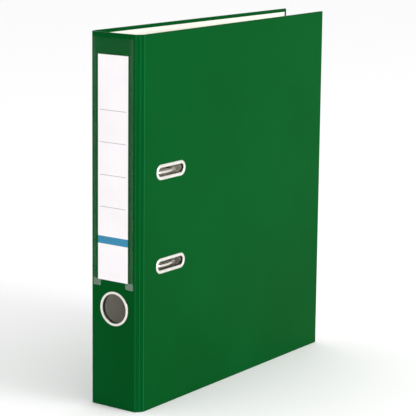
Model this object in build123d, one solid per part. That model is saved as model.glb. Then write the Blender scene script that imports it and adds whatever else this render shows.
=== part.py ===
from build123d import *
from math import asin, atan2, cos, degrees, radians, sin, sqrt, tan
import os

# A lever arch file for A4 paper, standing upright and closed, in millimetres.
# X runs across its thickness from the back cover to the front cover, Y from the
# spine to the open edge, and Z up. The parts are drawn about the middle of the
# spine's face and are moved to the middle of the footprint when they are written.

# Case: three board panels and two narrow hinge strips, wrapped in plastic film.
height = 318.0
spine_width = 46.0
strip_across = 4.65
strip_along = 6.0
cover_length = 280.0
cover_lean = 2.4
board = 2.0
film = 0.2
paper = 0.15
turn_in = 3.0
seam = 0.15

# Metal-edged slots in the front cover, over the arches.
slot_from_crease = 37.7
slot_length = 36.0
slot_width = 7.4
slot_rim = 3.0
slot_rim_width = 2.6
slot_rim_height = 0.8
slot_tube = 0.5
slot_back = 0.5
slot_over_middle = 2.6
hole_spacing = 80.0

# Finger ring in the spine.
ring_height = 86.3
ring_across = 1.0
ring_bore = 12.5
ring_flange = 15.0
ring_tube = 0.6
ring_proud = 1.2
ring_back = 0.5

# Clear pocket on the spine, and the card in it.
card_width = 32.0
card_length = 190.0
card_from_top = 18.0
card_thick = 0.25
card_gap = 0.3
card_across = -0.4
pocket_margin = 1.7
pocket_above = 14.0
pocket_below = 5.5
pocket_film = 0.25
pocket_weld = 2.0
pocket_foot = 8.0

# Mechanism base: a stamped plate riveted to the back cover.
mechanism_drop = 1.0
plate_before_axle = 8.0
plate_past_post = 7.0
plate_past_arch = 26.0
plate_thick = 1.0
plate_corner = 5.0
plate_flange = 1.5
rivet_inset = 5.5
rivet_end = 6.0
rivet_shank = 1.6
rivet_outer_head = 4.2
rivet_inner_head = 3.0
rivet_head = 0.8
rivet_soft = 0.5

# Arches: one bent wire that turns in four loops of the base.
wire = 1.75
axle_lift = 3.8
arch_clear = 0.4
shoulder_post_side = 13.0
shoulder_leg_side = 8.0
leg_slant = 20.0
leg_bend = 4.0
crank = 8.0
crank_half = 6.0
crank_bend = 2.9
running = 0.05
loop_wall = 1.15
loop_length = 6.0
loop_from_ear = 0.7
loop_from_arch = 7.0
spring_play = 0.4
spring_wire = 1.1

# Posts that hold the paper.
post_inset = 0.65
post = 2.25
leg_straight = 1.9
post_collar = 3.6
post_collar_height = 1.2
post_spigot = 1.6
post_chamfer = 0.7
post_gap = 0.3

# Lever, its pin and its roller.
lever_pin = 2.0
lever_lift = 10.3
lever_from_roller = 5.5
lever_eye = 4.2
lever_tilt = 7.6
lever_open = 60.0
lever_clear = 0.2
lever_from_spine = 9.5
lever_from_bush = 1.1
lever_sheet = 1.2
crank_play = 0.85
web_start = 9.0
tip_radius = 2.2
tip_bore = 1.1
tip_half = 11.0
ear_gap = 0.3
ear_foot = 6.0
pin_head = 3.0
pin_head_thick = 0.8
roller = 3.0
roller_half = 5.5
roller_pin = 1.2
roller_boss = 2.6
roller_gap = 0.15

# Compressor: a bar that slides on the posts and holds the paper down.
bar_past_arch = 16.0
bar_far = 10.5
bar_thick = 1.2
bar_lift = 5.3
bar_flange = 3.0
bush_flange = 4.2
bush_body = 3.4
bush_running = 0.1
bush_length = 5.0
bush_flange_thick = 1.0

case_thick = film + board + paper
half_spine = spine_width / 2
half_thick = half_spine + strip_across
lean = radians(cover_lean)
plate_x = -half_thick + case_thick
plate_top = plate_x + plate_thick
arch_half = hole_spacing / 2
card_low = height - card_from_top - card_length
slot_height = height / 2 + slot_over_middle
mechanism_height = slot_height - mechanism_drop

# Places in the mechanism follow from the slots: the post stands under a slot's far
# end, and the lever, its roller, the crank and the axle come one after another before it.
post_y = strip_along + (slot_from_crease + slot_length / 2) * cos(lean) - post_inset
lever_x = plate_top + lever_lift
lever_y = post_y - bush_flange - lever_from_bush - lever_eye
roller_y = lever_y - lever_from_roller
axle_x = plate_top + axle_lift
axle_y = roller_y - crank
roller_x = axle_x + wire + roller_gap + roller
cheek_inner = crank_half + wire + crank_play
cheek_outer = cheek_inner + lever_sheet
ear_inner = cheek_outer + ear_gap
ear_outer = ear_inner + lever_sheet
loop_inner = ear_outer + loop_from_ear + loop_length / 2
loop_outer = arch_half - loop_from_arch - loop_length / 2
spring_inner = wire + spring_play
plate_near = axle_y - plate_before_axle
plate_far = post_y + plate_past_post
plate_half = arch_half + plate_past_arch
bar_half = arch_half + bar_past_arch

# The open lever stays under the closed front cover, and the closed one leaves room for
# a finger at the spine: the shorter of the two sets its length.
cover_over_lever = half_thick - case_thick - (lever_y - strip_along) * tan(lean)
lever_swing = radians(lever_tilt + lever_open)
length_under_cover = (cover_over_lever - lever_x - tip_radius - lever_clear) / sin(lever_swing)
length_to_spine = (lever_y - case_thick - tip_radius - lever_from_spine) / cos(radians(lever_tilt))
lever_length = min(length_under_cover, length_to_spine)
tip_x = lever_x + lever_length * sin(radians(lever_tilt))
tip_y = lever_y - lever_length * cos(radians(lever_tilt))

# Outer corners of the case seen from above: back cover's open edge, back crease,
# both edges of the spine, front crease, front cover's open edge.
outline = [
    Vector(-half_thick, strip_along + cover_length),
    Vector(-half_thick, strip_along),
    Vector(-half_spine, 0),
    Vector(half_spine, 0),
    Vector(half_thick, strip_along),
    Vector(half_thick - cover_length * sin(lean), strip_along + cover_length * cos(lean)),
]


def along(panel):
    return (outline[panel + 1] - outline[panel]).normalized()


def inward(panel):
    run = along(panel)
    return Vector(-run.Y, run.X)


def corner(index, depth):
    # The mitre's point at a depth under the outline's corner.
    if index == 0:
        return outline[0] + inward(0) * depth
    if index == len(outline) - 1:
        return outline[index] + inward(index - 1) * depth
    before = inward(index - 1)
    after = inward(index)
    return outline[index] + (before + after) * (depth / (1 + before.dot(after)))


def layer(first, last, near, far, low, high, start=0.0, end=0.0):
    # A sheet that follows the outline between two corners, from depth near to depth far.
    def edge(depth):
        points = [corner(index, depth) for index in range(first, last + 1)]
        points[0] = points[0] + along(first) * start
        points[-1] = points[-1] - along(last - 1) * end
        return points

    points = edge(near) + edge(far)[::-1]
    face = make_face(Polyline(*points, close=True))
    return Pos(0, 0, low) * extrude(face, high - low, dir=(0, 0, 1))


# The arches swing just under the edge of the slots' near ends, which sets their radius.
slot_end = outline[4] + along(4) * (slot_from_crease - slot_length / 2)
slot_end = slot_end + inward(4) * (case_thick + slot_back + arch_clear)
arch_radius = (slot_end - Vector(axle_x, axle_y)).length - wire
wide_y = post_y - shoulder_post_side
wide_x = axle_x + sqrt((arch_radius - shoulder_post_side) ** 2 - (wide_y - axle_y) ** 2)
post_top = wide_x - leg_straight


def panel_set(first, last, boards, open_start, open_end):
    # Boards, lining and wrapping film of one panel; an open end is a fore-edge with a turn-in.
    def trims(edge):
        return {"start": edge if open_start else seam, "end": edge if open_end else seam}

    envelope = layer(first, last, 0, case_thick, 0, height, **trims(0.0))
    solids = []
    for one, other in boards:
        inner = {"start": 0.0, "end": 0.0}
        if one == first:
            inner["start"] = trims(film)["start"]
        if other == last:
            inner["end"] = trims(film)["end"]
        solids.append(layer(one, other, film, film + board, 0, height - film, **inner))
    lining = layer(first, last, film + board, case_thick, 0, height - turn_in, **trims(turn_in))
    covering = envelope - lining
    for solid in solids:
        covering = covering - solid
    return solids, lining, covering


front_plane = Plane(
    origin=outline[4],
    x_dir=along(4),
    z_dir=inward(4) * -1,
)
ring_plane = Plane(origin=(ring_across, 0, ring_height), x_dir=(1, 0, 0), z_dir=(0, -1, 0))
slot_levels = {"upper": slot_height + arch_half, "lower": slot_height - arch_half}
arch_levels = {"upper": mechanism_height + arch_half, "lower": mechanism_height - arch_half}


def stadium(grow, low, high, level):
    # A slot-shaped block on the front cover: grown all round, between two heights over its face.
    length = slot_length + 2 * grow
    width = slot_width + 2 * grow
    block = extrude(SlotOverall(length, width), high - low)
    return front_plane * Pos(slot_from_crease, level, low) * block


def slot_eyelet(level):
    rim_block = extrude(SlotOverall(slot_length + 2 * slot_rim, slot_width + 2 * slot_rim_width), slot_rim_height)
    rim_block = fillet(rim_block.faces().sort_by(Axis.Z)[-1].edges(), slot_rim_height * 0.75)
    rim = front_plane * Pos(slot_from_crease, level, 0) * rim_block
    tube = stadium(slot_tube, -case_thick - slot_back, 0, level)
    return rim + tube - stadium(0, -2 * case_thick, 2 * slot_rim_height, level)


def slot_backplate(level):
    size = slot_rim_width - 0.3
    plate = stadium(size, -case_thick - slot_back, -case_thick, level)
    return plate - stadium(slot_tube, -2 * case_thick, 0, level)


def ring_front():
    rim = extrude(Circle(ring_flange), ring_proud)
    rim = fillet(rim.faces().sort_by(Axis.Z)[-1].edges(), ring_proud * 0.8)
    tube = Pos(0, 0, -case_thick - ring_back) * extrude(Circle(ring_bore + ring_tube), case_thick + ring_back)
    bore = Pos(0, 0, -2 * case_thick) * extrude(Circle(ring_bore), 4 * case_thick)
    return ring_plane * (rim + tube - bore)


def ring_washer():
    plate = extrude(Circle(ring_flange), ring_back)
    hole = extrude(Circle(ring_bore + ring_tube), ring_back)
    return ring_plane * Pos(0, 0, -case_thick - ring_back) * (plate - hole)


def ring_hole():
    return ring_plane * Pos(0, 0, -2 * case_thick) * extrude(Circle(ring_bore + ring_tube), 4 * case_thick)


def block(x0, x1, y0, y1, z0, z1):
    return Pos(x0, y0, z0) * Box(x1 - x0, y1 - y0, z1 - z0, align=(Align.MIN, Align.MIN, Align.MIN))


def label_pocket():
    # A clear sheet welded down along both sides and at two feet, open at the top.
    left = card_across - half_spine + pocket_margin
    right = card_across + half_spine - pocket_margin
    low = card_low - pocket_below
    high = card_low + card_length + pocket_above
    outer = -(2 * card_gap + card_thick + pocket_film)
    inner = -(2 * card_gap + card_thick)
    pocket = block(left, right, outer, 0, low, high)
    pocket -= block(left + pocket_weld, right - pocket_weld, inner, 0, low + pocket_below - card_gap, high)
    pocket -= block(left + pocket_foot, right - pocket_foot, outer, 0, low, low + pocket_below - card_gap)
    return pocket


def label_card():
    left = card_across - card_width / 2
    near = -card_gap - card_thick
    return block(left, left + card_width, near, near + card_thick, card_low, card_low + card_length)


def rod(radius, x, y, low, high):
    return Pos(x, y, low) * extrude(Circle(radius), high - low)


def pillar(radius, y, level, low, high):
    # A round bar that stands on the back cover, along X.
    return Plane(origin=(low, y, level), z_dir=(1, 0, 0)) * extrude(Circle(radius), high - low)


rivet_spots = [
    (y, mechanism_height + side * (plate_half - rivet_end))
    for y in (plate_near + rivet_inset, plate_far - rivet_inset)
    for side in (-1, 1)
]


def rivet(y, level):
    outer = -half_thick - rivet_head
    head = pillar(rivet_outer_head, y, level, outer, -half_thick)
    head = fillet(head.faces().sort_by(Axis.X)[0].edges(), rivet_soft)
    clinch = pillar(rivet_inner_head, y, level, plate_top, plate_top + rivet_head)
    clinch = fillet(clinch.faces().sort_by(Axis.X)[-1].edges(), rivet_soft)
    return head + clinch + pillar(rivet_shank, y, level, -half_thick, plate_top)


def rivet_holes():
    return [pillar(rivet_shank, y, level, -half_thick - 1, plate_top + 1) for y, level in rivet_spots]


def bearing_loop(middle):
    low = middle - loop_length / 2
    outer = wire + running + loop_wall
    loop = rod(outer, axle_x, axle_y, low, low + loop_length)
    loop += block(plate_top, axle_x, axle_y - outer, axle_y + outer, low, low + loop_length)
    return loop - rod(wire + running, axle_x, axle_y, low, low + loop_length)


def lever_ear(side):
    # An upturned lug of the base that holds one end of the lever's pin.
    low = mechanism_height + (ear_inner if side > 0 else -ear_outer)
    foot = [(plate_top, lever_y - ear_foot), (plate_top, lever_y + lever_eye)]
    head = [(lever_x, lever_y + lever_eye), (lever_x, lever_y - lever_eye)]
    web = extrude(make_face(Polyline(*foot, *head, close=True)), lever_sheet)
    ear = Pos(0, 0, low) * web + rod(lever_eye, lever_x, lever_y, low, low + lever_sheet)
    return ear - rod(lever_pin, lever_x, lever_y, low, low + lever_sheet)


def mechanism_base():
    size = Rectangle(plate_far - plate_near, 2 * plate_half)
    sheet = extrude(fillet(size.vertices(), plate_corner), plate_thick)
    middle = (plate_near + plate_far) / 2
    plane = Plane(origin=(plate_x, middle, mechanism_height), x_dir=(0, 1, 0), z_dir=(1, 0, 0))
    base = plane * sheet
    reach = plate_half - 2 * plate_corner
    for y in (plate_near, plate_far - plate_thick):
        low = mechanism_height - reach
        base += block(plate_top, plate_top + plate_flange, y, y + plate_thick, low, low + 2 * reach)
    for offset in (-loop_outer, -loop_inner, loop_inner, loop_outer):
        base += bearing_loop(mechanism_height + offset)
    for side in (-1, 1):
        base += lever_ear(side)
    for hole in rivet_holes():
        base -= hole
    for level in arch_levels.values():
        base -= pillar(post_spigot, post_y, level, plate_x, plate_top)
    return base


def paper_post(level):
    body = pillar(post, post_y, level, plate_top, post_top)
    body = chamfer(body.faces().sort_by(Axis.X)[-1].edges(), post_chamfer)
    collar = pillar(post_collar, post_y, level, plate_top, plate_top + post_collar_height)
    return body + collar + pillar(post_spigot, post_y, level, plate_x, plate_top)


def arc(centre, radius, start, end, level):
    # Angles are measured from +X towards +Y, in degrees.
    def point(angle):
        turn = radians(angle)
        return (centre[0] + radius * cos(turn), centre[1] + radius * sin(turn), level)

    return ThreePointArc(point(start), point((start + end) / 2), point(end))


def arch_outline(level):
    # From the post up and over: leg, wide shoulder, long curve about the axle, tight shoulder.
    wide_angle = degrees(atan2(wide_y - axle_y, wide_x - axle_x))
    tight = shoulder_leg_side
    tight_reach = arch_radius - tight
    tight_angle = -leg_slant + degrees(asin(tight / tight_reach))
    turn = radians(tight_angle)
    tight_centre = (axle_x + tight_reach * cos(turn), axle_y + tight_reach * sin(turn))
    edges = [
        Line((post_top + post_gap, post_y, level), (wide_x, post_y, level)),
        arc((wide_x, wide_y), shoulder_post_side, 90, wide_angle, level),
        arc((axle_x, axle_y), arch_radius, wide_angle, tight_angle, level),
        arc(tight_centre, tight, tight_angle, -90 - leg_slant, level),
    ]
    return edges


def arch_wire():
    upper = arch_outline(arch_levels["upper"])
    lower = arch_outline(arch_levels["lower"])
    axle = [
        (axle_x, axle_y, arch_levels["upper"]),
        (axle_x, axle_y, mechanism_height + crank_half),
        (axle_x, axle_y + crank, mechanism_height + crank_half),
        (axle_x, axle_y + crank, mechanism_height - crank_half),
        (axle_x, axle_y, mechanism_height - crank_half),
        (axle_x, axle_y, arch_levels["lower"]),
    ]
    radii = [leg_bend, crank_bend, crank_bend, crank_bend, crank_bend, leg_bend]
    low = FilletPolyline(upper[-1] @ 1, *axle, lower[-1] @ 1, radius=radii)
    path = Wire(upper + list(low.edges()) + lower)
    start = upper[0] @ 0
    return sweep(Plane(origin=start, z_dir=(1, 0, 0)) * Circle(wire), path=path)


def arch_spring():
    # The torsion spring's envelope, a sleeve about the axle between two loops.
    low = mechanism_height + loop_inner + loop_length / 2 + running
    high = mechanism_height + loop_outer - loop_length / 2 - running
    outer = spring_inner + spring_wire
    return rod(outer, axle_x, axle_y, low, high) - rod(spring_inner, axle_x, axle_y, low, high)


def lever_cheek(side):
    low = mechanism_height + (cheek_inner if side > 0 else -cheek_outer)
    # Tangent lines from the eye's circle to the smaller circle at the tip.
    toward = atan2(tip_y - lever_y, tip_x - lever_x)
    spread = asin((lever_eye - tip_radius) / lever_length)
    points = []
    for x, y, radius, turn in (
        (lever_x, lever_y, lever_eye, toward + radians(90) - spread),
        (tip_x, tip_y, tip_radius, toward + radians(90) - spread),
        (tip_x, tip_y, tip_radius, toward - radians(90) + spread),
        (lever_x, lever_y, lever_eye, toward - radians(90) + spread),
    ):
        points.append((x + radius * cos(turn), y + radius * sin(turn)))
    arm = Pos(0, 0, low) * extrude(make_face(Polyline(*points, close=True)), lever_sheet)
    arm += rod(lever_eye, lever_x, lever_y, low, low + lever_sheet)
    arm += rod(roller_boss, roller_x, roller_y, low, low + lever_sheet)
    return arm


def lever():
    run = (Vector(tip_x, tip_y) - Vector(lever_x, lever_y)).normalized()
    up = Vector(-run.Y, run.X)
    # The web lies along the arms' upper edges, from past the roller to the rolled tip.
    taper = (lever_eye - tip_radius) / lever_length
    heights = [lever_eye - taper * web_start, tip_radius]
    spots = [Vector(lever_x, lever_y) + run * web_start, Vector(tip_x, tip_y)]
    points = [spot + up * rise for spot, rise in zip(spots, heights)]
    points += [spot + up * (rise - lever_sheet) for spot, rise in zip(spots[::-1], heights[::-1])]
    low = mechanism_height - cheek_outer
    web = Pos(0, 0, low) * extrude(make_face(Polyline(*points, close=True)), 2 * cheek_outer)
    body = web + lever_cheek(-1) + lever_cheek(1)
    body += rod(tip_radius, tip_x, tip_y, mechanism_height - tip_half, mechanism_height + tip_half)
    span = (mechanism_height - tip_half, mechanism_height + tip_half)
    body -= rod(tip_bore, tip_x, tip_y, *span)
    body -= rod(lever_pin + running, lever_x, lever_y, *span)
    return body - rod(roller_pin, roller_x, roller_y, *span)


def lever_pivot():
    pin = rod(lever_pin, lever_x, lever_y, mechanism_height - ear_outer, mechanism_height + ear_outer)
    for low in (mechanism_height - ear_outer - pin_head_thick, mechanism_height + ear_outer):
        pin += rod(pin_head, lever_x, lever_y, low, low + pin_head_thick)
    return pin


def lever_roller():
    span = (mechanism_height - roller_half, mechanism_height + roller_half)
    return rod(roller, roller_x, roller_y, *span) - rod(roller_pin + running, roller_x, roller_y, *span)


def roller_axle():
    return rod(roller_pin, roller_x, roller_y, mechanism_height - cheek_outer, mechanism_height + cheek_outer)


def compressor_bar():
    low_x = plate_top + bar_lift
    near = post_y - bush_flange
    far = post_y + bar_far
    span = (mechanism_height - bar_half, mechanism_height + bar_half)
    bar = block(low_x, low_x + bar_thick, near, far, *span)
    bar += block(low_x, low_x + bar_flange, far - bar_thick, far, *span)
    for level in arch_levels.values():
        bar -= pillar(bush_body, post_y, level, low_x - 1, low_x + bar_thick + 1)
    return bar


def compressor_bush(level):
    top = plate_top + bar_lift + bar_thick + bush_flange_thick
    bush = pillar(bush_body, post_y, level, top - bush_length, top)
    bush += pillar(bush_flange, post_y, level, top - bush_flange_thick, top)
    return bush - pillar(post + bush_running, post_y, level, top - bush_length, top)


def case_parts():
    parts = {}
    boards, lining, covering = panel_set(0, 1, [(0, 1)], True, False)
    parts["back_board"] = boards[0]
    parts["back_lining"] = lining
    parts["back_covering"] = covering
    for name in list(parts):
        for hole in rivet_holes():
            parts[name] = parts[name] - hole
    boards, lining, covering = panel_set(1, 4, [(1, 2), (2, 3), (3, 4)], False, False)
    parts["back_hinge_strip"] = boards[0]
    parts["spine_board"] = boards[1] - ring_hole()
    parts["front_hinge_strip"] = boards[2]
    parts["spine_lining"] = lining - ring_hole()
    parts["spine_covering"] = covering - ring_hole()
    boards, lining, covering = panel_set(4, 5, [(4, 5)], False, True)
    front = {"front_board": boards[0], "front_lining": lining, "front_covering": covering}
    for name, solid in front.items():
        for level in slot_levels.values():
            solid = solid - stadium(slot_tube, -2 * case_thick, case_thick, level)
        parts[name] = solid
    return parts


def fitting_parts():
    parts = {"finger_ring": ring_front(), "finger_ring_washer": ring_washer()}
    parts["label_pocket"] = label_pocket()
    parts["label_card"] = label_card()
    for name, level in slot_levels.items():
        parts[name + "_slot_eyelet"] = slot_eyelet(level)
        parts[name + "_slot_backplate"] = slot_backplate(level)
    return parts


def mechanism_parts():
    parts = {"mechanism_base": mechanism_base()}
    parts["mechanism_rivets"] = [rivet(*spot) for spot in rivet_spots]
    for name, level in arch_levels.items():
        parts[name + "_post"] = paper_post(level)
    parts["arch_wire"] = arch_wire()
    parts["arch_spring"] = arch_spring()
    parts["lever"] = lever()
    parts["lever_pin"] = lever_pivot()
    parts["lever_roller"] = lever_roller()
    parts["roller_pin"] = roller_axle()
    parts["compressor_bar"] = compressor_bar()
    parts["compressor_bushes"] = [compressor_bush(level) for level in arch_levels.values()]
    return parts


def write_parts(parts):
    solids = {}
    for name, shape in parts.items():
        shapes = shape if isinstance(shape, list) else [shape]
        solids[name] = [solid for each in shapes for solid in each.solids()]
    box = Compound([solid for group in solids.values() for solid in group]).bounding_box()
    middle = box.center()
    shift = Pos(-middle.X, -middle.Y, -box.min.Z)
    os.makedirs("parts", exist_ok=True)
    for name, group in solids.items():
        moved = [shift * solid for solid in group]
        export_step(moved[0] if len(moved) == 1 else Compound(moved), f"parts/{name}.step")
    print("case", box.size, "middle", middle)


write_parts({**case_parts(), **fitting_parts(), **mechanism_parts()})
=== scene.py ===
import bmesh
import bpy
import numpy as np
from mathutils import Matrix, Vector


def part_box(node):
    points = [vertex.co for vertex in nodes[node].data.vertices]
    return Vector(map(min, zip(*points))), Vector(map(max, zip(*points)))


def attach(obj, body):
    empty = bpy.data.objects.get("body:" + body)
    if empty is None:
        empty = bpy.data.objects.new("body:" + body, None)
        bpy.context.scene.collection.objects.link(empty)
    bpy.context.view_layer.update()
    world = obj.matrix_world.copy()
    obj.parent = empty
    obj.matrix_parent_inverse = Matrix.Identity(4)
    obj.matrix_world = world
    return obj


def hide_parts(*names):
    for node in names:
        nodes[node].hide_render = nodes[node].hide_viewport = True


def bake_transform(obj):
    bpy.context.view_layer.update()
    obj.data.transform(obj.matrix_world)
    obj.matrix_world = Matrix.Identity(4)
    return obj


# A lever arch file: green film over greyboard, white paper inside, nickel fittings.
# Sizes in the dictionaries are millimetres, measured from the foot of the spine's outer face.

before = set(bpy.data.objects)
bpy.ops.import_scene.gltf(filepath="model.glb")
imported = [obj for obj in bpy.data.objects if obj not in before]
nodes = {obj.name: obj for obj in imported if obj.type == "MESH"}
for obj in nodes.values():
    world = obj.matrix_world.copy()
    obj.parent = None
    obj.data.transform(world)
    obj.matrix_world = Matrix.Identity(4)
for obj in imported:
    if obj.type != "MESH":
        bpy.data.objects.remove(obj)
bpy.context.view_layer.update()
mm = 0.001
spineLow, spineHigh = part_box("spine_board")
# The middle of the spine's outer face, on the floor.
home = np.array([(spineLow.x + spineHigh.x) / 2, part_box("spine_covering")[0].y, 0.0])
print("frame loaded:", len(nodes), "nodes")


def inMaker(point):
    # A place of the frame in the maker's millimetres.
    return (np.array(point) - home) / mm


def nodeBox(name):
    low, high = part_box(name)
    return inMaker(low), inMaker(high)


def gridFaces(rows, columns, keep=None, closed=False):
    # Quads of a grid of points, row by row; closed joins the last column to the first.
    index = np.arange(rows * columns).reshape(rows, columns)
    if closed:
        index = np.hstack([index, index[:, :1]])
    quads = np.stack([index[:-1, :-1], index[:-1, 1:], index[1:, 1:], index[1:, :-1]], -1)
    return quads[keep] if keep is not None else quads.reshape(-1, 4)


def makePiece(name, patches, material, flip=False, weld=0.004, attributes=None):
    # Joins patches of (points, quads) in millimetres into one mesh in its place, welded.
    points = np.vstack([patch[0].reshape(-1, 3) for patch in patches])
    offsets = np.cumsum([0] + [patch[0].size // 3 for patch in patches])
    quads = np.vstack([patch[1] + start for patch, start in zip(patches, offsets)])
    if flip:
        quads = quads[:, ::-1]
    # Points that round to the same place become one.
    keys = np.round(points / weld).astype(np.int64)
    _, first, back = np.unique(keys, axis=0, return_index=True, return_inverse=True)
    quads = back.reshape(-1)[quads]
    # A quad with two corners in one place becomes a triangle; points of no face are dropped.
    same = quads == np.roll(quads, -1, axis=1)
    whole = quads[same.sum(1) == 0]
    thin = np.vstack([np.delete(quads[same[:, k] & (same.sum(1) == 1)], k, axis=1) for k in range(4)])
    used = np.unique(np.concatenate([whole.ravel(), thin.ravel()]))
    first = first[used]
    faces = np.searchsorted(used, whole).tolist() + np.searchsorted(used, thin).tolist()
    mesh = bpy.data.meshes.new(name)
    mesh.from_pydata(points[first] * mm + home, [], faces)
    mesh.polygons.foreach_set("use_smooth", np.ones(len(mesh.polygons), bool))
    for key, values in (attributes or {}).items():
        layer = mesh.attributes.new(key, "FLOAT", "POINT")
        layer.data.foreach_set("value", values.reshape(-1)[first].astype(np.float32))
    mesh.update()
    piece = bpy.data.objects.new(name, mesh)
    bpy.context.scene.collection.objects.link(piece)
    mesh.materials.append(material)
    return piece


def spread(*spans):
    # Coordinates over runs of (start, end, step), each run's ends included once.
    runs = [np.linspace(a, b, max(2, int(round(abs(b - a) / step)) + 1)) for a, b, step in spans]
    return np.unique(np.round(np.concatenate(runs), 4))


def linear(red, green, blue):
    # Screen colour, 0 to 255, as scene-linear.
    screen = np.array([red, green, blue]) / 255
    light = np.where(screen <= 0.04045, screen / 12.92, ((screen + 0.055) / 1.055) ** 2.4)
    return (*[float(value) for value in light], 1.0)


class Shader:
    # A short way to place nodes and join them in one material or group.
    def __init__(self, tree):
        self.tree = tree

    def add(self, kind, **settings):
        node = self.tree.nodes.new(kind)
        for key, value in settings.items():
            if hasattr(node, key):
                setattr(node, key, value)
            else:
                node.inputs[key.replace("_", " ")].default_value = value
        return node

    def join(self, source, target):
        self.tree.links.new(source, target)

    def maths(self, operation, first, second=0.0):
        node = self.tree.nodes.new("ShaderNodeMath")
        node.operation = operation
        for socket, value in zip(node.inputs, (first, second)):
            if isinstance(value, (int, float)):
                socket.default_value = value
            else:
                self.join(value, socket)
        return node.outputs[0]

    def ramp(self, source, low, high):
        # 0 below low, 1 above high, smooth between.
        node = self.add("ShaderNodeMapRange", interpolation_type="SMOOTHSTEP")
        self.join(source, node.inputs["Value"])
        node.inputs["From Min"].default_value = low
        node.inputs["From Max"].default_value = high
        return node.outputs["Result"]

    def blend(self, factor, first, second):
        node = self.add("ShaderNodeMix", data_type="RGBA")
        # A mix node's colour sockets are its seventh and eighth.
        for index, value in ((0, factor), (6, first), (7, second)):
            if isinstance(value, (int, float, tuple)):
                node.inputs[index].default_value = value
            else:
                self.join(value, node.inputs[index])
        return node.outputs[2]


def newGroup(name, inputs, outputs):
    group = bpy.data.node_groups.new(name, "ShaderNodeTree")
    for label, kind, value in inputs:
        socket = group.interface.new_socket(name=label, in_out="INPUT", socket_type=kind)
        if value is not None:
            socket.default_value = value
    for label, kind in outputs:
        group.interface.new_socket(name=label, in_out="OUTPUT", socket_type=kind)
    return group, group.nodes.new("NodeGroupInput"), group.nodes.new("NodeGroupOutput")


def makeGrain():
    # Fine grain and slow clouding over a surface.
    group, given, out = newGroup(
        "Surface grain",
        [("Scale", "NodeSocketFloat", 900.0), ("Stretch", "NodeSocketFloat", 1.0),
         ("Cloud", "NodeSocketFloat", 12.0)],
        [("Height", "NodeSocketFloat"), ("Clouding", "NodeSocketFloat")])
    tools = Shader(group)
    place = tools.add("ShaderNodeTexCoord")
    scaled = tools.add("ShaderNodeVectorMath", operation="MULTIPLY")
    stretch = tools.add("ShaderNodeCombineXYZ")
    stretch.inputs[0].default_value = stretch.inputs[1].default_value = 1
    tools.join(given.outputs["Stretch"], stretch.inputs[2])
    tools.join(place.outputs["Object"], scaled.inputs[0])
    tools.join(stretch.outputs[0], scaled.inputs[1])
    fine = tools.add("ShaderNodeTexNoise", Detail=6.0, Roughness=0.62)
    slow = tools.add("ShaderNodeTexNoise", Detail=3.0, Roughness=0.5)
    for node, scale in ((fine, "Scale"), (slow, "Cloud")):
        tools.join(scaled.outputs[0], node.inputs["Vector"])
        tools.join(given.outputs[scale], node.inputs["Scale"])
    tools.join(fine.outputs[0], out.inputs["Height"])
    tools.join(slow.outputs[0], out.inputs["Clouding"])
    return group


wear = {
    "edges": (0.505, 0.56),      # pointiness where rubbing starts and is full
    "patches": (0.42, 0.62), "patchScale": 140.0,
    "scuffs": (0.66, 0.8), "scuffScale": 60.0,
}


def makeWear():
    # A mask of edges rubbed in patches, and of scuffs along wandering lines.
    group, given, out = newGroup(
        "Edge wear",
        [("Amount", "NodeSocketFloat", 0.5), ("Scuffs", "NodeSocketFloat", 0.3)],
        [("Mask", "NodeSocketFloat")])
    tools = Shader(group)
    geometry = tools.add("ShaderNodeNewGeometry")
    place = tools.add("ShaderNodeTexCoord")
    patchy = tools.add("ShaderNodeTexNoise", Scale=wear["patchScale"], Detail=4.0)
    lines = tools.add("ShaderNodeTexNoise", Scale=wear["scuffScale"], Detail=8.0, Distortion=1.6)
    for node in (patchy, lines):
        tools.join(place.outputs["Object"], node.inputs["Vector"])
    edge = tools.ramp(geometry.outputs["Pointiness"], *wear["edges"])
    broken = tools.ramp(patchy.outputs[0], *wear["patches"])
    scuffs = tools.ramp(lines.outputs[0], *wear["scuffs"])
    worn = tools.maths("MULTIPLY", tools.maths("MULTIPLY", edge, broken), given.outputs["Amount"])
    marked = tools.maths("MULTIPLY", scuffs, given.outputs["Scuffs"])
    tools.join(tools.maths("MAXIMUM", worn, marked), out.inputs["Mask"])
    return group


grainGroup = makeGrain()
wearGroup = makeWear()


def shaderOf(material):
    return Shader(material.node_tree), material.node_tree.nodes["Principled BSDF"]


def startMaterial(name, roughness, metallic=0.0):
    material = bpy.data.materials.new(name)
    material.use_nodes = True
    tools, shader = shaderOf(material)
    shader.inputs["Roughness"].default_value = roughness
    shader.inputs["Metallic"].default_value = metallic
    return material, tools, shader


def addGroup(tools, group, **values):
    node = tools.add("ShaderNodeGroup")
    node.node_tree = group
    for key, value in values.items():
        node.inputs[key].default_value = value
    return node


def addBump(tools, shader, height, strength, distance):
    bump = tools.add("ShaderNodeBump", Strength=strength, Distance=distance)
    tools.join(height, bump.inputs["Height"])
    tools.join(bump.outputs[0], shader.inputs["Normal"])


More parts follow.
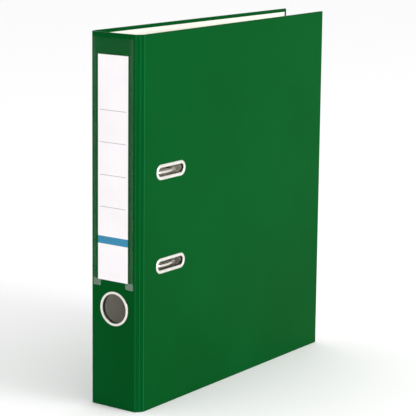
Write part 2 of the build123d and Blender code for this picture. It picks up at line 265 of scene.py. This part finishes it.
def makeFinish(name, base, second, roughness, unevenness, metallic=0.0, grain=900.0, stretch=1.0,
               cloud=12.0, bump=0.2, depth=0.00005, worn=None, wearAmount=0.4, scuffs=0.1):
    # A finish of two near colours clouded together, with grain, uneven gloss and wear.
    material, tools, shader = startMaterial(name, roughness, metallic)
    surface = addGroup(tools, grainGroup, Scale=grain, Stretch=stretch, Cloud=cloud)
    colour = tools.blend(tools.ramp(surface.outputs["Clouding"], 0.3, 0.7), base, second)
    if worn:
        rubbed = addGroup(tools, wearGroup, Amount=wearAmount, Scuffs=scuffs)
        colour = tools.blend(rubbed.outputs["Mask"], colour, worn)
    tools.join(colour, shader.inputs["Base Color"])
    # Roughness is its middle value, plus or minus half the unevenness with the grain.
    uneven = tools.maths("MULTIPLY_ADD", surface.outputs["Height"], unevenness)
    uneven.node.inputs[2].default_value = roughness - unevenness / 2
    tools.join(uneven, shader.inputs["Roughness"])
    addBump(tools, shader, surface.outputs["Height"], bump, depth)
    return material


def tintBy(material, attribute, amount, tint):
    # Turns the base colour towards a tint where the mesh's attribute says so.
    tools, shader = shaderOf(material)
    mark = tools.add("ShaderNodeAttribute", attribute_name=attribute)
    colour = shader.inputs["Base Color"].links[0].from_socket
    share = tools.maths("MULTIPLY", mark.outputs["Fac"], amount)
    tools.join(tools.blend(share, colour, tint), shader.inputs["Base Color"])


greenFilm = makeFinish(
    "Green film", linear(0, 80, 30), linear(0, 75, 26), 0.34, 0.12, grain=1300.0, cloud=9.0,
    bump=0.6, depth=0.0001, worn=linear(14, 96, 50), wearAmount=0.15, scuffs=0.12)
shaderOf(greenFilm)[1].inputs["Specular IOR Level"].default_value = 0.015
# The film is paler along the creases and the pressed lines: painted highlights where the folds catch the
# light, together with the film's own whitening on its folds.
tintBy(greenFilm, "foldWhiteningAndHighlight", 0.4, linear(40, 132, 84))
liningPaper = makeFinish(
    "Lining paper", linear(243, 241, 232), linear(238, 235, 226), 0.8, 0.1, grain=1400.0,
    cloud=30.0, bump=0.3, depth=0.00006)
nickel = makeFinish(
    "Bright nickel", linear(224, 220, 212), linear(218, 214, 205), 0.2, 0.08, metallic=1.0,
    grain=2400.0, stretch=0.2, cloud=120.0, bump=0.08, depth=0.00002,
    worn=linear(245, 243, 238), wearAmount=0.5)
trim = makeFinish(
    "Rolled nickel trim", linear(238, 236, 230), linear(226, 224, 217), 0.27, 0.12, metallic=1.0,
    grain=2000.0, cloud=150.0, bump=0.08, depth=0.00002, worn=linear(250, 249, 245))
# Painted shade: its tubes are turned dark brown inside, down in the recess where the light hardly
# reaches.
tintBy(trim, "inside", 1.0, linear(52, 46, 40))
zinc = makeFinish(
    "Zinc plated sheet", linear(166, 167, 169), linear(158, 160, 162), 0.38, 0.12, metallic=1.0,
    grain=1200.0, stretch=0.15, cloud=45.0, bump=0.15, depth=0.00003, worn=linear(205, 205, 203))
springSteel = makeFinish(
    "Spring steel", linear(120, 121, 124), linear(98, 98, 101), 0.35, 0.15, metallic=1.0,
    grain=2600.0, cloud=300.0, bump=0.12, depth=0.00002, worn=linear(160, 160, 160))
blackPlastic = makeFinish(
    "Black moulded plastic", linear(24, 24, 26), linear(30, 30, 31), 0.5, 0.15, grain=1600.0,
    cloud=90.0, bump=0.35, depth=0.00004, worn=linear(70, 70, 72), wearAmount=0.3)
greyboard = makeFinish(
    "Greyboard", linear(142, 134, 122), linear(122, 115, 104), 0.9, 0.06, grain=1100.0,
    stretch=3.0, cloud=260.0, bump=0.6, depth=0.0001)
print("finishes made")

case = {
    "spineWidth": 46.0, "stripSide": 4.65, "stripRun": 6.0, "coverLength": 280.0, "lean": 2.4,
    "thick": 2.35,          # film, board and paper together
    "turnIn": 3.0,          # film turned over the boards' edges, on the inside
    "turnedUnder": 1.0,     # and carried on under the paper
    "turnedDepth": 0.03,    # so that the paper lies over it
    "edgeRound": 0.5,
    "creaseRound": 1.3, "spineRound": 1.5, "innerRound": 0.8,
    "arcSteps": 10,         # places along the arc at each corner
    "ridge": 0.28, "ridgeWidth": 0.55,   # fold line pressed along each strip
    "ridgeSink": 0.4,       # depth at which it has died away round the edge
    "below": 0.12,          # film under the boards
    "filmGap": 1.1,         # film cut back round the holes
    "top": nodeBox("spine_covering")[1][2],
}
halfSpine = case["spineWidth"] / 2
halfThick = halfSpine + case["stripSide"]
lean = np.radians(case["lean"])
outline = np.array([
    [-halfThick, case["stripRun"] + case["coverLength"]],
    [-halfThick, case["stripRun"]],
    [-halfSpine, 0],
    [halfSpine, 0],
    [halfThick, case["stripRun"]],
    [halfThick - case["coverLength"] * np.sin(lean),
     case["stripRun"] + case["coverLength"] * np.cos(lean)],
])


def sectionPaths(corners, depth, outerRounds, innerRounds):
    # Straight runs joined by arcs, as two lists of points that go together: the outer
    # line, and the line at that depth inside it. Returns the outer distances and both.
    run = np.diff(corners, axis=0)
    run = run / np.linalg.norm(run, axis=1)[:, None]
    inside = np.stack([-run[:, 1], run[:, 0]], 1)
    # A corner moves in by the sum of its two sides' ways in, over one plus their product.
    mitre = (inside[:-1] + inside[1:]) / (1 + np.sum(inside[:-1] * inside[1:], 1))[:, None]
    innerCorners = corners + depth * np.vstack([inside[:1], mitre, inside[-1:]])

    def rounded(points, rounds):
        turn = np.arctan2(run[:, 1], run[:, 0])
        half = np.diff(turn) / 2
        # An arc starts back from its corner by its radius times the tangent of half the turn.
        back = rounds * np.tan(half)
        share = np.linspace(0, 1, case["arcSteps"])
        angles = turn[:-1, None] + share * (2 * half)[:, None]
        first = points[1:-1] - run[:-1] * back[:, None]
        centre = first + inside[:-1] * rounds[:, None]
        spokes = np.stack([np.sin(angles), -np.cos(angles)], -1)
        arcs = centre[:, None] + rounds[:, None, None] * spokes
        return np.vstack([points[:1], arcs.reshape(-1, 2), points[-1:]])

    outer = rounded(corners, outerRounds)
    inner = rounded(innerCorners, innerRounds)
    gone = np.concatenate([[0], np.cumsum(np.linalg.norm(np.diff(outer, axis=0), axis=1))])
    return gone, outer, inner


outerRounds = np.array([case[key] for key in ("creaseRound", "spineRound", "spineRound", "creaseRound")])
gone, outerLine, innerLine = sectionPaths(
    outline, case["thick"], outerRounds, np.full(4, case["innerRound"]))
length = gone[-1]


def cornerAt(index):
    # Distance along the section at the middle of a corner's arc, corners counted from 1.
    return gone[1 + case["arcSteps"] * (index - 1) + case["arcSteps"] // 2]


stripBack = (cornerAt(1) + cornerAt(2)) / 2
stripFront = (cornerAt(3) + cornerAt(4)) / 2
# Each fold's place along the section, the strength of its pale mark (painted highlight with the film's
# own whitening) and its half width.
folds = [
    (cornerAt(1), 1.0, 0.3), (stripBack, 0.55, 0.35), (cornerAt(2), 0.5, 0.5),
    (cornerAt(3), 0.5, 0.5), (stripFront, 0.55, 0.35), (cornerAt(4), 1.0, 0.3),
]


def fold(along, depth, up):
    # Place of a point from its distance along the section, its depth and its height.
    outer = np.stack([np.interp(along, gone, outerLine[:, k]) for k in (0, 1)], -1)
    inner = np.stack([np.interp(along, gone, innerLine[:, k]) for k in (0, 1)], -1)
    flat = outer + (inner - outer) * (depth / case["thick"])[..., None]
    return np.concatenate([flat, np.broadcast_to(up, flat.shape[:2])[..., None]], -1)


def foldWhiteningAndHighlightAt(along):
    # How strongly the folds near a place pale the film, as painted highlight and whitening. Each mark
    # fades as e to the minus of the distance over the width, squared.
    return sum(strength * np.exp(-((along - place) / width) ** 2)
               for place, strength, width in folds)


def ridgeAt(along):
    # Two low ridges where the film is pressed along each strip, falling off the same way.
    middles = np.array([stripBack, stripFront])[:, None]
    near = np.abs(along.ravel()[None] - middles).min(0).reshape(along.shape)
    return case["ridge"] * np.exp(-(near / case["ridgeWidth"]) ** 2)


slots = [nodeBox("upper_slot_eyelet"), nodeBox("lower_slot_eyelet")]
ringBox = nodeBox("finger_ring")
holes = {"slotLength": 36.0, "slotWidth": 7.4, "slotFromCrease": 37.7, "fingerRadius": 12.5}
slotHeights = [(low[2] + high[2]) / 2 for low, high in slots]
slotAlong = length - case["coverLength"] + holes["slotFromCrease"]
slotStraight = (holes["slotLength"] - holes["slotWidth"]) / 2   # half the straight sides
ringCentre = ((ringBox[0][0] + ringBox[1][0]) / 2, (ringBox[0][2] + ringBox[1][2]) / 2)
ringAlong = (cornerAt(2) + cornerAt(3)) / 2 + ringCentre[0]


def insideHoles(along, up, grow):
    # True where a point lies within a slot or the finger hole, grown by a margin.
    # A slot is every point near enough to the middle line of its straight part.
    past = np.maximum(np.abs(along - slotAlong) - slotStraight, 0)
    finger = (along - ringAlong) ** 2 + (up - ringCentre[1]) ** 2
    cut = finger < (holes["fingerRadius"] + grow) ** 2
    for level in slotHeights:
        cut |= past ** 2 + (up - level) ** 2 < (holes["slotWidth"] / 2 + grow) ** 2
    return cut


def edgeProfile():
    # Round the panel's edge, as distances out from its flat face and depths: from the
    # outer face over two arcs to the film turned in on the inner face.
    bow, thick = case["edgeRound"], case["thick"]
    turn = np.linspace(0, np.pi / 2, 6)
    end = bow - case["turnIn"] - case["turnedUnder"]
    out = np.concatenate([bow * np.sin(turn), bow * np.cos(turn), [end]])
    depth = np.concatenate([bow - bow * np.cos(turn), thick - bow + bow * np.sin(turn), [thick]])
    return out, np.where(depth > thick - 0.01, depth - case["turnedDepth"], depth)


def cellMiddles(values):
    return (values[:-1, :-1] + values[1:, 1:]) / 2


def holding(ends):
    # Lines close to a patch's ends, so that the flat face stays flat up to its edge.
    return np.concatenate([np.array(ends) + gap for gap in (-1.2, -0.4, 0.4, 1.2)])


def pathRow(alongs, ups, alongOut, upOut):
    # Places of an edge path with the way out of the panel at each.
    return np.stack(np.broadcast_arrays(alongs, ups, alongOut, upOut), 1)


def filmPiece(name, start, end, alongs, ups, openEdge):
    # The covering's outer face on a grid, and its edge carried round the open sides.
    bow = case["edgeRound"]
    low, high = -case["below"] + bow, case["top"] - bow
    first = start + bow if openEdge == "start" else start
    last = end - bow if openEdge == "end" else end
    run = np.unique(np.clip(np.concatenate([alongs, holding([first, last])]), first, last))
    climb = np.unique(np.clip(np.concatenate([ups, holding([low, high])]), low, high))
    alongGrid, upGrid = np.meshgrid(run, climb)
    face = fold(alongGrid, -ridgeAt(alongGrid), upGrid)
    keep = ~insideHoles(cellMiddles(alongGrid), cellMiddles(upGrid), case["filmGap"])
    patches = [(face, gridFaces(*alongGrid.shape, keep=keep))]
    marks = [foldWhiteningAndHighlightAt(alongGrid).ravel()]
    # The path: along the bottom, up the open edge if there is one, and back along the top.
    fan = np.linspace(0, np.pi / 2, 5)
    sign = -1 if openEdge == "start" else 1
    run = run[::sign]
    corner = last if sign > 0 else first
    foot, head = pathRow(run, low, 0, -1), pathRow(run, high, 0, 1)[::-1]
    if openEdge:
        paths = [np.vstack([foot, pathRow(corner, low, sign * np.sin(fan), -np.cos(fan)),
                            pathRow(corner, climb, sign, 0),
                            pathRow(corner, high, sign * np.cos(fan), np.sin(fan)), head])]
    else:
        paths = [foot, head]
    out, depth = edgeProfile()
    outward, inward = np.maximum(out, 0)[:, None], np.minimum(out, 0)[:, None]
    for path in paths:
        along = path[None, :, 0] + path[None, :, 2] * outward
        if openEdge == "end":
            along = np.where(inward < 0, np.minimum(path[None, :, 0], corner + inward), along)
        if openEdge == "start":
            along = np.where(inward < 0, np.maximum(path[None, :, 0], corner - inward), along)
        up = path[None, :, 1] + path[None, :, 3] * outward
        up = np.where(inward < 0, np.clip(path[None, :, 1], low - inward, high + inward), up)
        sunk = np.broadcast_to(depth[:, None], along.shape)
        relief = ridgeAt(along) * np.clip(1 - sunk / case["ridgeSink"], 0, 1)
        turned = gridFaces(*along.shape)
        patches.append((fold(along, sunk - relief, up), turned if sign > 0 else turned[:, ::-1]))
        marks.append(foldWhiteningAndHighlightAt(along).ravel())
    # Its pale fold marks are painted highlight along the folds, with the film's own whitening.
    return makePiece(name, patches, greenFilm, attributes={"foldWhiteningAndHighlight": np.concatenate(marks)})


# Grid lines: the step over flat panels, then the reach and step round each feature.
grid = {"flat": 8, "spine": 6, "crease": (2.0, 0.125), "ridge": (1.6, 0.2), "slotEnds": (22, 0.8),
        "slotSides": (8, 0.7), "ring": (16, 0.7)}


def around(place, feature):
    # A run of grid lines to both sides of a feature.
    reach, step = grid[feature]
    return place - reach, place + reach, step


ridgeReach, ridgeStep = grid["ridge"]
panelHeight = (-1, case["top"], grid["flat"])
frontUps = spread(panelHeight, *[around(level, "slotSides") for level in slotHeights])
backUps = spread(panelHeight)
spineUps = spread(panelHeight, around(ringCentre[1], "ring"))
creases = [around(cornerAt(index), "crease") for index in (1, 2, 3, 4)]
backAlongs = spread((0, stripBack, grid["flat"]), creases[0],
                    (stripBack - ridgeReach, stripBack, ridgeStep))
spineAlongs = spread((stripBack, stripFront, grid["spine"]), creases[1], creases[2],
                     (stripBack, stripBack + ridgeReach, ridgeStep),
                     (stripFront - ridgeReach, stripFront, ridgeStep), around(ringAlong, "ring"))
frontAlongs = spread((stripFront, length, grid["flat"]), creases[3],
                     (stripFront, stripFront + ridgeReach, ridgeStep), around(slotAlong, "slotEnds"))
frontFilm = filmPiece("front_film", stripFront, length, frontAlongs, frontUps, "end")
backFilm = filmPiece("back_film", 0, stripBack, backAlongs, backUps, "start")
spineFilm = filmPiece("spine_film", stripBack, stripFront, spineAlongs, spineUps, None)
filmOver = {"front_covering": frontFilm, "back_covering": backFilm, "spine_covering": spineFilm}
for node, piece in filmOver.items():
    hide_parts(node)
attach(spineFilm, "spine")
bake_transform(frontFilm)
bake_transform(backFilm)
print("film wrapped")

lining = {"sheet": 0.14, "edge": 3.0, "proud": 0.02, "gap": 0.9}


def paperPiece(name, start, end, alongs, ups, openEdge):
    # A sheet on the boards' inner face; its open edges drop to the board.
    lowEdge, highEdge = lining["edge"], case["top"] - lining["edge"]
    first = start + lining["edge"] if openEdge == "start" else start
    last = end - lining["edge"] if openEdge == "end" else end
    run = np.pad(np.unique(np.clip(alongs, first, last)), 1, mode="edge")
    climb = np.pad(np.unique(np.clip(ups, lowEdge, highEdge)), 1, mode="edge")
    alongGrid, upGrid = np.meshgrid(run, climb)
    face = case["thick"] + lining["proud"]
    sunk = np.full(alongGrid.shape, face)
    sunk[[0, -1]] = face - lining["sheet"]
    if openEdge:
        sunk[:, 0 if openEdge == "start" else -1] = face - lining["sheet"]
    keep = ~insideHoles(cellMiddles(alongGrid), cellMiddles(upGrid), lining["gap"])
    sheet = (fold(alongGrid, sunk, upGrid), gridFaces(*alongGrid.shape, keep=keep))
    return makePiece(name, [sheet], liningPaper, flip=True)


frontPaper = paperPiece("front_paper", stripFront, length, frontAlongs, frontUps, "end")
backPaper = paperPiece("back_paper", 0, stripBack, backAlongs, backUps, "start")
spinePaper = paperPiece("spine_paper", stripBack, stripFront, spineAlongs, spineUps, None)
paperOver = {"front_lining": frontPaper, "back_lining": backPaper, "spine_lining": spinePaper}
for node, piece in paperOver.items():
    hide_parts(node)
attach(spinePaper, "spine")
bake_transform(frontPaper)
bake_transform(backPaper)
print("paper laid")

eyelet = {
    "rim": 3.0, "proud": 0.9, "tube": 2.8,
    "lip": 0.5,          # depth at which the tube starts to turn over
    "seat": 0.05,        # rim's edge pressed into the film
    "bulge": 0.7,        # power of the crown's curve, flatter on top than a circle
    "around": 80,
}
# Painted shade in the tubes: it starts at the first depth and is full after the second.
tubeShade = {"from": 0.1, "over": 0.5}    # depths where a tube's inside darkens


def tubeShadeOf(depth):
    # Share of painted shade: 0 on the rim, 1 down in the tube.
    return np.clip((depth - tubeShade["from"]) / tubeShade["over"], 0, 1)


def eyeletPiece(name, level):
    # A rolled section carried round a stadium: tube inside, crown, and down to the film.
    crown = np.linspace(0, np.pi, 13)
    half = eyelet["rim"] / 2
    out = np.concatenate([[0.0, 0.0], half - half * np.cos(crown), [eyelet["rim"]]])
    lift = np.concatenate([[-eyelet["tube"], -eyelet["lip"]],
                           eyelet["proud"] * np.sin(crown) ** eyelet["bulge"], [-eyelet["seat"]]])
    turn = np.linspace(0, 2 * np.pi, eyelet["around"], endpoint=False) + 1e-6
    side = np.where(np.cos(turn) > 0, 1.0, -1.0)
    radius = holes["slotWidth"] / 2 + out[:, None]
    along = slotAlong + side[None] * slotStraight + radius * np.cos(turn)[None]
    up = level + radius * np.sin(turn)[None]
    sunk = np.broadcast_to(-lift[:, None], along.shape)
    rim = (fold(along, sunk, up), gridFaces(*along.shape, closed=True))
    # The inside attribute carries the painted shade down the tube.
    return makePiece(name, [rim], trim, flip=True, attributes={"inside": tubeShadeOf(sunk)})


upperEyelet = eyeletPiece("upper_eyelet_rim", slotHeights[0])
lowerEyelet = eyeletPiece("lower_eyelet_rim", slotHeights[1])
for node, piece in {"upper_slot_eyelet": upperEyelet, "lower_slot_eyelet": lowerEyelet}.items():
    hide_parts(node)
    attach(piece, "front_cover")

ring = {"bore": holes["fingerRadius"], "flange": 15.0, "proud": 1.3, "flare": 0.6, "lip": 0.6,
        "seat": 0.05, "bulge": 0.75, "around": 96}


def ringPiece():
    # A lathed section: the tube through the spine, a domed flange and its edge on the film.
    dome = np.linspace(0, np.pi, 15)
    bore, half = ring["bore"], (ring["flange"] - ring["bore"]) / 2
    back = -ringBox[1][1]
    radius = np.concatenate([[bore + ring["flare"], bore, bore], bore + half - half * np.cos(dome),
                             [ring["flange"]]])
    lift = np.concatenate([[back, back, -ring["lip"]],
                           ring["proud"] * np.sin(dome) ** ring["bulge"], [-ring["seat"]]])
    turn = np.linspace(0, 2 * np.pi, ring["around"], endpoint=False)
    across = ringCentre[0] + radius[:, None] * np.cos(turn)
    up = ringCentre[1] + radius[:, None] * np.sin(turn)
    depth = np.broadcast_to(-lift[:, None], across.shape)
    rim = (np.stack([across, depth, up], -1), gridFaces(*across.shape, closed=True))
    # The inside attribute carries the painted shade down the tube.
    return makePiece("finger_ring_rim", [rim], trim, flip=True, attributes={"inside": tubeShadeOf(depth)})


fingerRing = ringPiece()
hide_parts("finger_ring")
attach(fingerRing, "spine")
print("trim rings made")

pocketLow, pocketHigh = nodeBox("label_pocket")
pocket = {
    "weld": 2.0, "weldLift": 0.28,       # a flat pressed line at each side
    "ramp": 1.6, "footRamp": 1.4, "lift": 0.95, "sheet": 0.2,
    "foot": 8.0, "notch": 109.6, "corner": 1.5,
    "clear": 0.006, "weldCloud": 0.1,    # how much of the sheet, and of a weld, is seen
    "sideShine": 0.12,                   # how strongly the side welds show against the feet
    "gridSide": (10, 0.4), "gridFoot": (8, 0.3), "gridTop": (3, 0.4), "gridFlat": (2.0, 6.0),
}
clearFilm, clearTools, clearShader = startMaterial("Clear pocket film", 0.12)
clearShader.inputs["Base Color"].default_value = linear(225, 236, 228)
clearShader.inputs["Specular IOR Level"].default_value = 0.12
heat = clearTools.add("ShaderNodeAttribute", attribute_name="weld")
seal = addGroup(clearTools, grainGroup, Scale=700.0, Stretch=1.0, Cloud=60.0)
pressed = clearTools.maths("MULTIPLY", heat.outputs["Fac"], pocket["weldCloud"])
clearTools.join(clearTools.maths("ADD", pressed, pocket["clear"]), clearShader.inputs["Alpha"])
addBump(clearTools, clearShader, seal.outputs["Clouding"], 0.12, 0.0003)


def bordered(low, high, lowEdge, highEdge, step):
    # Grid lines with a finer step near both ends, each given as its reach and step.
    lowReach, lowStep = lowEdge
    highReach, highStep = highEdge
    return spread((low, low + lowReach, lowStep), (low + lowReach, high - highReach, step),
                  (high - highReach, high, highStep))


def pocketPiece():
    # A clear sheet that dips to the spine at its side and foot welds, with a notch for
    # the thumb between the feet.
    left, right = pocketLow[0], pocketHigh[0]
    foot, top = pocketLow[2], pocketHigh[2]
    wide, tall = pocket["gridFlat"]
    across, up = np.meshgrid(bordered(left, right, pocket["gridSide"], pocket["gridSide"], wide),
                             bordered(foot, top, pocket["gridFoot"], pocket["gridTop"], tall))
    inFrom = np.minimum(across - left, right - across)
    share = np.clip((inFrom - pocket["weld"]) / pocket["ramp"], 0, 1)
    overFoot = np.clip((up - pocket["notch"]) / pocket["footRamp"], 0, 1)
    share = np.where(inFrom < pocket["foot"], np.minimum(share, overFoot), share)
    # Eased at both ends of the ramp: three times its square less twice its cube.
    share = share * share * (3 - 2 * share)
    lift = pocket["weldLift"] + (pocket["lift"] - pocket["weldLift"]) * share
    middle = cellMiddles(up)
    cellIn = np.minimum(cellMiddles(across) - left, right - cellMiddles(across))
    # The notch's corners are rounded by a circle of the corner's radius.
    away = np.hypot(np.maximum(cellIn - pocket["foot"] + pocket["corner"], 0),
                    np.maximum(foot + pocket["corner"] - middle, 0))
    keep = (middle > pocket["notch"]) | (away < pocket["corner"])
    weld = (1 - share) * np.where(up < pocket["notch"] + 1, 1.0, pocket["sideShine"])
    outer = np.stack([across, -lift, up], -1)
    piece = makePiece("pocket_sheet", [(outer, gridFaces(*across.shape, keep=keep))], clearFilm,
                      attributes={"weld": weld})
    thick = piece.modifiers.new("Sheet", "SOLIDIFY")
    thick.thickness = pocket["sheet"] * mm
    thick.offset = -1
    return piece


pocketSheet = pocketPiece()
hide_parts("label_pocket")
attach(pocketSheet, "spine")

cardLow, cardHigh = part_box("label_card")
printed = {
    "rules": [46.0, 73.0, 100.5, 127.5],   # thin lines, below the card's top edge
    "ruleWidth": 0.36, "inset": 2.2,
    "band": (152.5, 159.0),                # plain coloured band
}
cardPaper = makeFinish(
    "Printed card", linear(252, 247, 250), linear(248, 243, 246), 0.55, 0.08, grain=1800.0,
    cloud=40.0, bump=0.15, depth=0.00004)
cardTools, cardShader = shaderOf(cardPaper)
bare = cardShader.inputs["Base Color"].links[0].from_socket
where = cardTools.add("ShaderNodeSeparateXYZ")
cardTools.join(cardTools.add("ShaderNodeTexCoord").outputs["Object"], where.inputs[0])


def near(value, middle, reach):
    # A mask of the places where a value is within reach of a middle, in metres.
    gap = cardTools.maths("ABSOLUTE", cardTools.maths("SUBTRACT", value, middle))
    return cardTools.maths("LESS_THAN", gap, reach)


drop = cardTools.maths("SUBTRACT", cardHigh.z, where.outputs[2])
marks = None
for rule in printed["rules"]:
    line = near(drop, rule * mm, printed["ruleWidth"] / 2 * mm)
    marks = line if marks is None else cardTools.maths("MAXIMUM", marks, line)
ruleReach = (cardHigh.x - cardLow.x) / 2 - printed["inset"] * mm
marks = cardTools.maths("MULTIPLY", marks,
                        near(where.outputs[0], (cardLow.x + cardHigh.x) / 2, ruleReach))
bandTop, bandFoot = printed["band"]
band = near(drop, (bandTop + bandFoot) / 2 * mm, (bandFoot - bandTop) / 2 * mm)
ruled = cardTools.blend(marks, bare, linear(120, 120, 124))
cardTools.join(cardTools.blend(band, ruled, linear(20, 130, 170)), cardShader.inputs["Base Color"])
print("label made")

coil = {"wire": 1.0, "turns": 6.0, "perTurn": 28, "inset": 0.5, "around": 10}


def springPiece():
    # A tube along a helix about the axle, closed at both ends; its section is set square
    # to the helix's own tangent.
    low, high = nodeBox("arch_spring")
    middle = (low + high) / 2
    thick = coil["wire"] / 2
    radius = (high[0] - low[0]) / 2 - thick
    turn = np.linspace(0, 2 * np.pi * coil["turns"], int(coil["turns"] * coil["perTurn"]))
    rise = low[2] + coil["inset"] + (high[2] - low[2] - 2 * coil["inset"]) * turn / turn[-1]
    line = np.stack([middle[0] + radius * np.cos(turn), middle[1] + radius * np.sin(turn), rise], -1)
    tangent = np.gradient(line, axis=0)
    tangent /= np.linalg.norm(tangent, axis=1)[:, None]
    outward = (line - middle) * [1, 1, 0]
    outward /= np.linalg.norm(outward, axis=1)[:, None]
    side = np.cross(tangent, outward)
    angle = np.linspace(0, 2 * np.pi, coil["around"], endpoint=False)[None, :, None]
    tube = line[:, None] + thick * (np.cos(angle) * outward[:, None] + np.sin(angle) * side[:, None])
    # Each end closes on the middle of the wire.
    foot, head = np.broadcast_to(line[[0, -1], None, None], (2, 1, coil["around"], 3))
    tube = np.concatenate([foot, tube, head])
    return makePiece("coil_spring", [(tube, gridFaces(*tube.shape[:2], closed=True))], springSteel,
                     flip=True)


coilSpring = springPiece()
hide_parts("arch_spring")
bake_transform(coilSpring)
print("spring wound")

# For each fitting: its rounded edges' width, its finish, its body and its slot.
softened = {
    "lever": (0.25, nickel, "lever", "nickel_plate"),
    "mechanism_base": (0.2, zinc, "back_cover", "zinc_sheet"),
    "compressor_bar": (0.2, nickel, "compressor", "nickel_plate"),
    "compressor_bushes": (0.25, blackPlastic, "compressor", "black_plastic"),
    "upper_post": (0.2, nickel, "back_cover", "nickel_plate"),
    "lower_post": (0.2, nickel, "back_cover", "nickel_plate"),
    "lever_pin": (0.15, nickel, "back_cover", "nickel_plate"),
    "roller_pin": (0.1, nickel, "lever", "nickel_plate"),
    "lever_roller": (0.3, blackPlastic, "lever_roller", "black_plastic"),
    "mechanism_rivets": (0.25, nickel, "back_cover", "nickel_plate"),
    "upper_slot_backplate": (0.15, nickel, "front_cover", "nickel_plate"),
    "lower_slot_backplate": (0.15, nickel, "front_cover", "nickel_plate"),
    "finger_ring_washer": (0.15, nickel, "spine", "nickel_plate"),
}


def weldMesh(mesh):
    # Joins a frame part's triangles into whole flat faces.
    work = bmesh.new()
    work.from_mesh(mesh)
    bmesh.ops.remove_doubles(work, verts=work.verts, dist=1e-6)
    bmesh.ops.dissolve_limit(work, angle_limit=np.radians(1.0), verts=work.verts, edges=work.edges)
    work.to_mesh(mesh)
    work.free()
    if "custom_normal" in mesh.attributes:
        mesh.attributes.remove(mesh.attributes["custom_normal"])
    mesh.polygons.foreach_set("use_smooth", np.ones(len(mesh.polygons), bool))
    mesh.update()


def soften(name, width, material, body):
    # A copy of a frame part whose sharp edges are rounded over.
    copy = bpy.data.objects.new(name + "_finished", nodes[name].data.copy())
    bpy.context.scene.collection.objects.link(copy)
    copy.data.materials.clear()
    copy.data.materials.append(material)
    weldMesh(copy.data)
    bevel = copy.modifiers.new("Edges", "BEVEL")
    bevel.width = width * mm
    bevel.segments = 3
    bevel.limit_method = "ANGLE"
    bevel.angle_limit = np.radians(35)
    flat = copy.modifiers.new("Flat faces", "WEIGHTED_NORMAL")
    flat.weight = 100
    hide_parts(name)
    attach(copy, body)


for name, (width, material, body, slot) in softened.items():
    soften(name, width, material, body)

finishes = {
    "board": greyboard, "strip": greyboard, "covering": greenFilm, "lining": liningPaper,
    "card": cardPaper, "pocket": clearFilm, "eyelet": trim, "ring": trim, "spring": springSteel,
    "bushes": blackPlastic, "roller": blackPlastic, "base": zinc,
}
for name, node in nodes.items():
    # The last word of a node's name tells its finish; the rest is nickel plated.
    node.data.materials.clear()
    node.data.materials.append(finishes.get(name.split("_")[-1], nickel))
print("fittings finished")

studio = {
    "floor": linear(252, 252, 252), "size": 12.0,
    "sky": 0.98,                        # light of the backdrop, which looks a full white
    "lampPlace": (2.4, 0.3, 0.9), "lampTarget": (0, 0, 0.16), "lampSize": 1.2, "lampPower": 34,
}
floorMaterial, _, floorShader = startMaterial("Pale floor", 0.9)
floorShader.inputs["Base Color"].default_value = studio["floor"]
floorShader.inputs["Specular IOR Level"].default_value = 0.1
mesh = bpy.data.meshes.new("floor")
half = studio["size"] / 2
level = -(case["below"] + 0.02) * mm    # just clear of the film's lower edge
mesh.from_pydata([(-half, -half, level), (half, -half, level), (half, half, level),
                  (-half, half, level)], [], [(0, 1, 2, 3)])
mesh.materials.append(floorMaterial)
floor = bpy.data.objects.new("floor", mesh)
bpy.context.scene.collection.objects.link(floor)

world = bpy.data.worlds.new("Studio")
bpy.context.scene.world = world
world.use_nodes = True
world.node_tree.nodes["Background"].inputs["Color"].default_value = (1, 1, 1, 1)
sky = Shader(world.node_tree)
seen = sky.add("ShaderNodeLightPath").outputs["Is Camera Ray"]
glow = sky.maths("MULTIPLY_ADD", seen, 1 - studio["sky"])
glow.node.inputs[2].default_value = studio["sky"]
sky.join(glow, world.node_tree.nodes["Background"].inputs["Strength"])


def areaLight(name, place, target, size, power):
    data = bpy.data.lights.new(name, "AREA")
    data.shape = "DISK"
    data.size = size
    data.energy = power
    lamp = bpy.data.objects.new(name, data)
    bpy.context.scene.collection.objects.link(lamp)
    lamp.location = place
    lamp.rotation_mode = "QUATERNION"
    lamp.rotation_quaternion = (Vector(target) - Vector(place)).to_track_quat("-Z", "Y")


areaLight("key", *[studio[key] for key in ("lampPlace", "lampTarget", "lampSize", "lampPower")])

# Angles in degrees, the distance in metres, the target in millimetres.
view = {"azimuth": 36.62, "elevation": 11.11, "roll": 0.63, "distance": 1.5812,
        "target": (53.1, 60.0, 170.1), "lens": 162.94}


def makeCamera():
    turn, lift, roll = (np.radians(view[key]) for key in ("azimuth", "elevation", "roll"))
    # From the target back to the camera; then its right and up, turned by the roll.
    back = np.array([np.sin(turn) * np.cos(lift), -np.cos(turn) * np.cos(lift), np.sin(lift)])
    right = np.cross(-back, [0, 0, 1])
    right /= np.linalg.norm(right)
    up = np.cross(right, -back)
    right, up = (np.cos(roll) * right + np.sin(roll) * up,
                 np.cos(roll) * up - np.sin(roll) * right)
    data = bpy.data.cameras.new("camera")
    data.lens, data.sensor_width = view["lens"], 36.0
    data.clip_start, data.clip_end = 0.05, 60.0
    camera = bpy.data.objects.new("camera", data)
    bpy.context.scene.collection.objects.link(camera)
    spot = home + np.array(view["target"]) * mm + back * view["distance"]
    camera.matrix_world = Matrix.Translation(Vector(spot)) @ Matrix(
        np.array([right, up, back]).T.tolist()).to_4x4()
    bpy.context.scene.camera = camera


makeCamera()
bpy.context.scene.view_settings.view_transform = "Standard"
print("studio lit")
